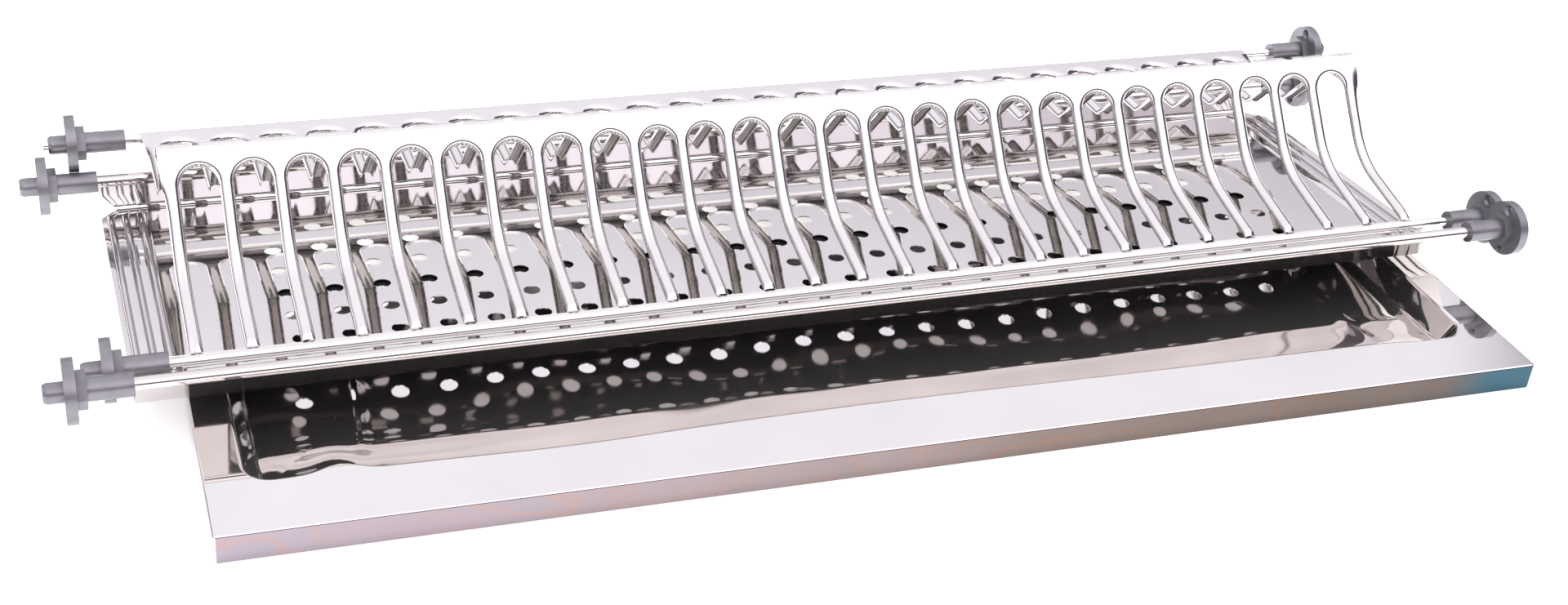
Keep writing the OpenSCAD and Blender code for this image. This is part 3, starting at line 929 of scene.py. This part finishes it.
@dataclass
class BaseRack:
    """Perforated sheet between two rolled hems, with beaded margins at its ends."""

    place: RackFrame
    length: float = 798.0
    span: float = 242.0
    depth: float = 20.7
    sheet: float = 0.6
    hem: float = 3.55
    front_angle: float = 45.0
    floor_bend: float = 4.0
    roll: float = 300.0
    margin: float = 26.0
    rise: float = 2.0
    bead: float = 1.6
    beads: int = 3
    bead_pitch: float = 8.5
    bead_edge: float = 5.0
    bead_past: float = 1.0
    bead_fade: float = 6.0
    corner_cut: float = 10.0
    hole: float = 9.8
    pitch: float = 26.8
    across: int = 24
    rows: int = 6
    first: float = 64.3
    columns: int = 9
    bend_step: float = 9.0
    margin_step: float = 7.0
    margin_longest: float = 12.0
    bead_points: int = 13
    hole_points: int = 33

    def __post_init__(self) -> None:
        """Works out the outer face's side view, from the front roll's free edge to the rear one's.

        The slanted front leaves the roll at its tangent point and meets the floor's line.
        """
        under = self.depth + self.sheet
        r, a = self.floor_bend, math.radians(self.front_angle)
        start = math.radians(180 + self.front_angle - self.roll)
        leave = (-self.hem * math.sin(a), -self.hem * math.cos(a))
        slant = (under + leave[1]) / math.sin(a)
        meet = leave[0] + slant * math.cos(a)
        cut = r * math.tan(a / 2)
        legs = [
            Leg.bend(self.hem, self.roll, Turn.LEFT),
            Leg(slant - cut),
            Leg.bend(r, self.front_angle, Turn.LEFT),
            Leg(self.span + self.hem - meet - cut - r),
            Leg.bend(r, 90.0, Turn.LEFT),
            Leg(under - r),
            Leg.bend(self.hem, self.roll, Turn.LEFT),
        ]
        begin = (self.hem * math.cos(start), self.hem * math.sin(start))
        self.path = SidePath(begin, math.degrees(start) + 90, legs)
        corners = self.path.corners()
        _, _, _, self.floor_begin, self.floor_end, self.bend_end, _, self.end = corners

    def lay(self, x: Array, along: Array, rise: Array | float = 0.0) -> Array:
        """World points of flat points bent along the side view and lifted off it."""
        return self.place.bent(self.path, x, along, rise)

    def bead_middles(self) -> list[float]:
        """Distances of the beads' middles from the floor's edge, the outermost first."""
        return [self.margin - self.bead_edge - k * self.bead_pitch for k in range(self.beads)]

    def margin_rise(self, out: Array) -> Array:
        """Height of a margin's section.

        It climbs at 45 degrees to the margin's height, and each bead adds the upper half
        of a circle, sqrt(r^2 - d^2), d the distance from the bead's middle.

        Args:
            out: distances from the floor's edge.

        Returns:
            Heights over the floor.
        """
        height = np.clip(out, 0.0, self.rise)
        for middle in self.bead_middles():
            height = height + half_circle(self.bead, out - middle)
        return height

    def margin_columns(self) -> Array:
        """Places columns over a margin, close together on the slope and on the beads.

        Returns:
            Distances out from the floor's edge.
        """
        found = [0.0, self.rise / 2, self.rise, self.margin]
        for k, middle in enumerate(self.bead_middles()):
            turn = np.linspace(0, math.pi, self.bead_points)
            found.extend((middle + self.bead * np.cos(turn)).tolist())
            found.append(middle + (self.bead_pitch / 2 if k else 2 * self.bead))
        return distinct([f for f in found if 0 <= f <= self.margin], COLUMN_DIGITS)

    def margins(self, shell: Shell, inner: float) -> None:
        """Adds both margins, their beads faded out past the floor and their rear corners cut.

        Args:
            shell: the patches so far.
            inner: distance across at which the margins begin.
        """
        out = self.margin_columns()
        along = self.path.stations(0, self.end, self.margin_step, self.margin_longest)
        past = self.bead_past
        mask = between(along, self.floor_begin - past, self.floor_end + past, self.bead_fade)
        middle = (self.floor_end + self.bend_end) / 2
        trim = np.clip(self.corner_cut - np.abs(along - middle), 0, None) / self.margin
        x = inner + out * (1 - trim)
        rise = self.margin_rise(out) * mask
        shell.grid(self.lay(x, along, rise))
        shell.grid(self.lay(-x, along, rise), flip=True)

    def holes(self, shell: Shell, low: float, half: float) -> None:
        """Adds the hole grid: every square cell is rays from its round hole to its four sides.

        Args:
            shell: the patches so far.
            low: distance along the path of the grid's front edge.
            half: half the grid's width.
        """
        angles = np.linspace(0, 2 * math.pi, self.hole_points)
        x, s = fan(angles, np.array([self.hole / 2]), (1.0,), self.pitch / 2, self.pitch / 2)
        for i in range(self.across):
            for j in range(self.rows):
                middle, along = (i + 0.5) * self.pitch - half, low + (j + 0.5) * self.pitch
                shell.grid(self.lay(middle + x, along + s))

    def build(self) -> Object:
        """Makes the sheet from two bands, the hole grid and two margins, and dresses it.

        Returns:
            The sheet.
        """
        back, _, _ = self.path.at(np.array([self.floor_begin]))
        low = self.first - self.pitch / 2 + self.floor_begin - float(back[0])
        high = low + self.rows * self.pitch
        inner, half = self.length / 2 - self.margin, self.across * self.pitch / 2
        wide = np.linspace(-inner, inner, self.columns)[None, :]
        shell = Shell()
        for begin, end in ((0, low), (high, self.end)):
            shell.grid(self.lay(wide, self.path.stations(begin, end, self.bend_step)))
        for a, b in ((-inner, -half), (half, inner)):
            shell.grid(self.lay(np.array([[a, b]]), np.array([[low], [high]])))
        self.holes(shell, low, half)
        self.margins(shell, inner)
        sheet = shell.build("base_rack_sheet")
        thicken(sheet, self.sheet, 1)
        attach(sheet, "base_rack")
        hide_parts("base_front_wall", "base_floor", "base_rear_wall", "base_margins")
        dress(sheet, Finish.MIRROR, Finish.BROWN)
        return sheet


# ---- plate rack


@dataclass
class PlateRack:
    """Slotted sheet with half-round ribs, a crest and two rolled hems."""

    place: RackFrame
    span: float = 222.0
    slots: int = 26
    pitch: float = 28.7
    rib: float = 7.6
    edge: float = 3.4
    end_margin: float = 5.9
    sheet: float = 0.6
    hem: float = 3.55
    roll: float = 300.0
    hem_left: float = 8.0
    hem_right: float = 18.0
    hem_past: float = 0.5
    ramp_angle: float = 9.0
    ramp: float = 41.0
    ramp_bend: float = 50.0
    back_angle: float = 47.0
    back: float = 39.9
    strip: float = 9.0
    crest: float = 5.0
    steep_angle: float = 52.7
    notch: float = 1.3
    tongue: float = 4.9
    kink: float = 6.0
    rear_strip: float = 10.0
    slot_start: float = 1.6
    blend: float = 5.0
    blend_before: float = 2.0
    notch_land: float = 0.8
    notch_fade: float = 1.0
    notch_crowd: float = 1.5
    relief: float = 3.7
    relief_past: float = 0.02
    end_roll: float = 24.0
    end_land: float = 0.1
    box_past: float = 0.6
    bend_step: float = 3.5
    longest: float = 9.0
    rear_step: float = 6.0
    crest_step: float = 5.0
    blend_rows: tuple[float, ...] = (0.8, 1.8, 3.0, 4.5, 6.0, 7.5)
    edge_points: int = 8
    rib_shares: tuple[float, ...] = (0.5, 1.0)
    arch_points: tuple[int, int] = (8, 10)
    notch_points: tuple[int, int, int] = (10, 5, 12)
    end_points: int = 10
    columns: int = 9
    hem_points: int = 49

    def __post_init__(self) -> None:
        """Works out the side view along the tops of the ribs and where the slots lie on it."""
        self.slot = (self.pitch - self.rib) / 2
        self.last = self.slots * self.pitch / 2
        self.half = self.last + self.end_margin
        self.reach = self.slot + self.edge + self.box_past
        a, c, f = np.radians([self.ramp_angle, self.steep_angle, -self.place.slope]).tolist()
        top = self.hem + self.edge
        start = (-top * math.sin(a), top * math.cos(a))
        legs = [
            Leg(self.ramp),
            Leg.bend(self.ramp_bend, self.back_angle - self.ramp_angle, Turn.LEFT),
            Leg(self.back + self.strip),
            Leg.bend(self.crest, self.back_angle + self.steep_angle, Turn.RIGHT),
        ]
        first = SidePath(start, self.ramp_angle, legs)
        back, up, _ = first.at(np.array(first.corners()[-1:]))
        to_y = self.span - self.hem * math.sin(f) - float(back[0])
        to_z = self.hem * math.cos(f) - float(up[0])
        turn = c + f
        meet = (to_y * math.sin(f) - to_z * math.cos(f)) / math.sin(turn)
        cut = self.kink * math.tan(turn / 2)
        run = (to_y - meet * math.cos(c)) * math.cos(f) + (to_z + meet * math.sin(c)) * math.sin(f)
        legs += [
            Leg(meet - cut),
            Leg.bend(self.kink, math.degrees(turn), Turn.LEFT),
            Leg(run - cut),
            Leg.bend(self.hem, self.roll, Turn.RIGHT),
        ]
        self.path = SidePath(start, self.ramp_angle, legs)
        _, _, _, strip_end, self.crest_end, _, _, self.tangent, self.end = self.path.corners()
        self.front_arch = strip_end - self.strip - self.slot
        self.rear_begin = self.crest_end + self.slot - self.notch
        self.rear_arch = self.tangent - self.rear_strip - self.slot
        self.notch_top = self.rear_begin - self.slot - self.tongue - self.notch_land

    def lay(self, x: Array, along: Array, drop: Array | float = 0.0) -> Array:
        """World points sunk under the tops of the ribs, which grow out of the front hem smoothly."""
        grown = smooth_step((along - self.slot_start + self.blend_before) / self.blend)
        return self.place.bent(self.path, x, along, grown * (self.edge - drop) - self.edge)

    def edge_rows(self) -> tuple[Array, Array]:
        """Distances from a slot's middle and drops across its rolled edge.

        A quarter circle: r = a + e (1 - cos t) and drop = e (1 - sin t), t from 0 to 90
        degrees, then level out to the middle of the rib.

        Returns:
            Distances over the roll, for fan(), and drops as far as the rib's middle.
        """
        t = np.linspace(0, math.pi / 2, self.edge_points)
        level = np.zeros(len(self.rib_shares))
        drops = np.concatenate([self.edge * (1 - np.sin(t)), level])
        return self.slot + self.edge * (1 - np.cos(t)), drops

    def arch_angles(self) -> Array:
        """Spreads rays over an arch, with one through each corner of the box round it.

        Returns:
            Angles in radians.
        """
        corner = math.atan2(self.reach, self.pitch / 2)
        side, top = self.arch_points
        parts = [np.linspace(0, corner, side), np.linspace(corner, math.pi - corner, top)]
        parts.append(np.linspace(math.pi - corner, math.pi, side))
        return distinct(np.concatenate(parts), ANGLE_DIGITS)

    def slot_cell(self, shell: Shell, middle: float) -> None:
        """Adds one slot of each row: half a rib on both sides and arches at the ends.

        Args:
            shell: the patches so far.
            middle: distance across of the slot's middle.
        """
        near, drops = self.edge_rows()
        columns, _ = fan(np.array([0.0]), near, self.rib_shares, self.pitch / 2, FAR)
        front = self.path.stations(self.slot_start, self.front_arch, self.bend_step, self.longest)
        blended = self.slot_start + np.array(self.blend_rows)[:, None]
        front = distinct(np.concatenate([front, blended]), COLUMN_DIGITS)[:, None]
        rear = self.path.stations(self.rear_begin, self.rear_arch, self.rear_step)
        for along in (front, rear):
            shell.grid(self.lay(middle + columns, along, drops))
            shell.grid(self.lay(middle - columns, along, drops), flip=True)
        x, s = fan(self.arch_angles(), near, self.rib_shares, self.pitch / 2, self.reach)
        for arch in (self.front_arch, self.rear_arch):
            shell.grid(self.lay(middle + x, arch + s, drops))
        self.notch_end(shell, middle, columns[0])

    def end_edge(self, along: Array) -> tuple[Array, Array]:
        """Outer half of an end rib: flat at the crest, rolled down like the slots below it.

        With f the roll's share, out = (1 - f) m t + f (l + e sin u) and drop = f e (1 - cos u),
        t running from 0 to 1 over the margin m and u from 0 to 90 degrees over the roll.

        Args:
            along: distances along the side view, one row each.

        Returns:
            Distances out from the rib's middle and drops, rows by columns.
        """
        t = np.linspace(0, 1, self.end_points)[None, :]
        level = self.end_land
        land = self.rib / 2 - self.edge
        u = np.clip((t - level) / (1 - level), 0, 1) * math.pi / 2
        rolled = np.where(t < level, land * t / level, land + self.edge * np.sin(u))
        before = smooth_step((self.front_arch + self.slot - along) / self.end_roll)
        behind = smooth_step((along - self.rear_begin) / self.end_roll)
        last = smooth_step((self.rear_arch + self.slot - along) / self.slot)
        share = np.maximum(before, behind * last)
        out = (1 - share) * self.end_margin * t + share * rolled
        return out, share * self.edge * (1 - np.cos(u))

    def notch_end(self, shell: Shell, middle: float, land: Array) -> None:
        """Adds the upper end of a rear slot, which reaches into the crest bend.

        Columns run across the cell and rows go from a line over the arch down to the arch,
        s = b - sqrt(a^2 - x^2), or where |x| < c down to a narrow tongue's round end,
        s = t + c - sqrt(c^2 - x^2). The edge's roll, e - sqrt(e^2 - (e - d)^2) at a distance
        d from the arch, fades out up the bend.

        Args:
            shell: the patches so far.
            middle: distance across of the slot's middle.
            land: distances across of the half rib's columns.
        """
        wide, narrow, rows = self.notch_points
        over = self.slot * np.sin(np.linspace(0, math.pi / 2, wide))
        small = self.relief * np.sin(np.linspace(0, math.pi / 2, narrow))
        past = [self.relief + self.relief_past]
        across = distinct(np.concatenate([over, small, past, land]))
        across = np.concatenate([-across[:0:-1], across])[None, :]
        arch = self.rear_begin - half_circle(self.slot, across)
        tip = self.notch_top + self.notch_land + self.relief - half_circle(self.relief, across)
        arch = np.where(np.abs(across) <= self.relief + self.relief_past / 2, tip, arch)
        share = 1 - (1 - np.linspace(0, 1, rows)[:, None]) ** self.notch_crowd
        along = self.notch_top + share * (arch - self.notch_top)
        away = np.clip(np.hypot(across, self.rear_begin - along) - self.slot, 0.0, self.edge)
        drop = self.edge - half_circle(self.edge, self.edge - away)
        begin = self.crest_end - self.notch_fade
        faded = smooth_step((along - begin) / (self.rear_begin - begin))
        shell.grid(self.lay(middle + across, along, drop * faded))

    def slotted(self) -> Object:
        """Makes the slotted sheet: all slots, the plain crest between the rows and the end ribs.

        Returns:
            The sheet.
        """
        shell = Shell()
        for k in range(self.slots):
            self.slot_cell(shell, (k + 0.5) * self.pitch - self.last)
        wide = np.linspace(-self.last, self.last, self.columns)[None, :]
        above = self.front_arch + self.reach
        shell.grid(self.lay(wide, self.path.stations(above, self.notch_top, self.crest_step)))
        below = self.rear_arch + self.reach
        whole = self.path.stations(self.slot_start, below, self.bend_step, self.longest)
        out, drop = self.end_edge(whole)
        shell.grid(self.lay(self.last + out, whole, drop))
        shell.grid(self.lay(-self.last - out, whole, drop), flip=True)
        return shell.build("plate_rack_sheet")

    def front_roll(self) -> Object:
        """Makes the front hem: a strip off the sheet rolled round the rod.

        A circle of the hem's radius about the rod, from the free edge up over the front to
        the tangent point, then a straight strip as far as the slots.

        Returns:
            The hem.
        """
        turn = np.radians(self.ramp_angle + 90 + np.linspace(self.roll, 0, self.hem_points))
        back, up = self.hem * np.cos(turn)[:, None], self.hem * np.sin(turn)[:, None]
        inner = np.array([[-self.half, 0.0, self.half]])
        left, right = -self.half - self.hem_left, self.half + self.hem_right
        shell = Shell()
        shell.grid(self.place.place(np.array([[left, *inner[0], right]]), back, up))
        shell.grid(self.lay(inner, np.array([[0.0], [self.slot_start]]), self.edge))
        return shell.build("plate_front_roll")

    def rear_roll(self) -> Object:
        """Makes the rear hem: the sheet's last strip and its roll under the rod.

        Returns:
            The hem.
        """
        inner = np.array([[-self.half, 0.0, self.half]])
        past = self.half + self.hem_past
        ends = np.array([[-past, *inner[0], past]])
        shell = Shell()
        begin = self.rear_arch + self.reach
        shell.grid(self.lay(inner, self.path.stations(begin, self.tangent, self.rear_step)))
        shell.grid(self.lay(ends, self.path.stations(self.tangent, self.end, self.rear_step)))
        return shell.build("plate_rear_roll")

    def build(self) -> list[Object]:
        """Makes and dresses the slotted sheet and its two rolled hems.

        Returns:
            The three of them.
        """
        made = [self.slotted(), self.front_roll(), self.rear_roll()]
        for thing in made:
            thicken(thing, self.sheet, -1)
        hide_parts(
            "plate_ramp_ribs", "plate_bend_ribs", "plate_back_ribs", "plate_crest",
            "plate_ridge", "plate_steep_ribs", "plate_kink_ribs", "plate_flat_ribs",
        )
        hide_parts("plate_front_hem")
        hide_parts("plate_rear_hem")
        for thing in made:
            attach(thing, "plate_rack")
            # The backs take the darker finish: painted shade on the undersides.
            dress(thing, Finish.MIRROR, Finish.DULL_SHADED)
        return made


# ---- studio


@dataclass
class Studio:
    """Floor, soft light, room and camera."""

    camera_at: Triple = (-0.44796, -0.92418, 0.65180)
    right: Triple = (0.9364, -0.33896, 0.09087)
    up: Triple = (0.10552, 0.51892, 0.84828)
    back: Triple = (-0.33469, -0.78475, 0.52169)
    lens: float = 48.07
    sensor: float = 36.0
    clip: Pair = (0.01, 50.0)
    floor_half: float = 30.0
    floor_drop: float = 0.0004
    lamp_at: Triple = (0.0, 0.1, 2.6)
    lamp_aim: Triple = (0.0, 0.05, 0.03)
    lamp_size: Pair = (3.0, 2.4)
    lamp_power: float = 62.0
    room_strength: float = 1.45
    front: Stops = (
        (0.0, (0.30, 0.27, 0.26)),
        (0.12, (0.09, 0.075, 0.075)),
        (0.36, (0.06, 0.05, 0.06)),
        (0.46, (1.35, 1.27, 1.39)),
        (0.78, (1.8, 1.74, 1.8)),
        (1.0, (1.0, 0.98, 1.02)),
    )
    sides: tuple[tuple[str, Pair, Stops], ...] = (
        ("Y", (-0.35, 0.45), (
            (0.0, (0.10, 0.07, 0.11)),
            (0.12, (0.22, 0.19, 0.23)),
            (0.3, (0.50, 0.47, 0.52)),
            (0.44, (0.80, 0.79, 0.84)),
            (0.72, (0.92, 0.9, 0.95)),
            (1.0, (0.9, 0.88, 0.92)),
        )),
        ("X", (-0.5, -0.8), (
            (0.0, (0.20, 0.17, 0.21)),
            (0.06, (0.07, 0.05, 0.08)),
            (0.22, (0.09, 0.07, 0.10)),
            (0.4, (0.82, 0.79, 0.86)),
            (1.0, (0.9, 0.88, 0.92)),
        )),
        ("X", (0.59, 0.67), (
            (0.0, (0.30, 0.27, 0.30)),
            (0.05, (0.07, 0.05, 0.08)),
            (0.5, (0.06, 0.04, 0.07)),
            (0.66, (0.82, 0.79, 0.86)),
            (1.0, (0.9, 0.88, 0.92)),
        )),
    )

    def camera(self) -> None:
        """Makes the camera and points it."""
        data = bpy.data.cameras.new("camera")
        data.lens = self.lens
        data.sensor_width = self.sensor
        data.clip_start, data.clip_end = self.clip
        eye = bpy.data.objects.new("camera", data)
        bpy.context.scene.collection.objects.link(eye)
        turned = Matrix([self.right, self.up, self.back]).transposed().to_4x4()
        eye.matrix_world = Matrix.Translation(Vector(self.camera_at)) @ turned
        bpy.context.scene.camera = eye

    def floor(self) -> None:
        """Lays the floor just under the tray."""
        side = np.linspace(-self.floor_half, self.floor_half, 3)
        x, y = np.meshgrid(side, side)
        shell = Shell()
        shell.grid(np.stack([x, y, np.full_like(x, -self.floor_drop)], -1))
        ground = shell.build("floor")
        dress(ground, Finish.FLOOR)

    def lamp(self) -> None:
        """Hangs a soft area lamp that faces the middle of the set and shows in no reflection."""
        data = bpy.data.lights.new("overhead", "AREA")
        data.shape = "RECTANGLE"
        data.size, data.size_y = self.lamp_size
        data.energy = self.lamp_power
        lamp = bpy.data.objects.new("overhead", data)
        lamp.visible_glossy = False
        lamp.location = self.lamp_at
        lamp.rotation_mode = "QUATERNION"
        facing = Vector(self.lamp_aim) - Vector(self.lamp_at)
        lamp.rotation_quaternion = facing.to_track_quat("-Z", "Y")
        bpy.context.scene.collection.objects.link(lamp)

    def world(self) -> None:
        """Makes the room: a pale sweep behind, a dim room in front, white overhead.

        Each side's colours by height take over between two directions along its axis.
        """
        world = bpy.data.worlds.new("room")
        world.use_nodes = True
        nodes = Nodes(world.node_tree)
        direction = nodes.add("TexCoord").outputs["Generated"]
        split = nodes.add("SeparateXYZ", {0: direction}).outputs
        colour = nodes.stops(split["Z"], self.front)
        for axis, turn, stops in self.sides:
            share = nodes.mapped(split[axis], turn, shape="SMOOTHSTEP")
            colour = nodes.mix(share, colour, nodes.stops(split["Z"], stops))
        paper = nodes.add("Background", {0: colour, 1: self.room_strength})
        nodes.add("OutputWorld", {0: paper.outputs[0]})
        bpy.context.scene.world = world

    def build(self) -> None:
        """Sets the whole studio up."""
        self.floor()
        self.world()
        self.lamp()
        self.camera()
        bpy.context.scene.view_settings.view_transform = "Standard"


# ---- assembly


def report(thing: Object) -> None:
    """Logs a piece's name and its number of faces."""
    log.info("%s: %d faces", thing.name, len(thing.data.polygons))


def main() -> None:
    """Builds every sub-assembly in order, dresses it and reports it."""
    logging.basicConfig(level=logging.INFO, format="%(name)s %(message)s")
    base_frame = RackFrame.of("base_front_rod", "base_rear_rod", "base_rear_wall")
    plate_frame = RackFrame.of("plate_front_rod", "plate_rear_rod", "plate_crest")
    sheets = [DripTray().build(), BaseRack(base_frame).build(), *PlateRack(plate_frame).build()]
    for thing in sheets:
        report(thing)
    for name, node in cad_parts.items():
        rod = Finish.ROD if name.endswith("_rod") else Finish.MIRROR
        dress(node, Finish.GREY if "fitting" in name else rod)
        if not node.hide_render:
            report(node)
    Studio().build()


if __name__ == "__main__":
    main()
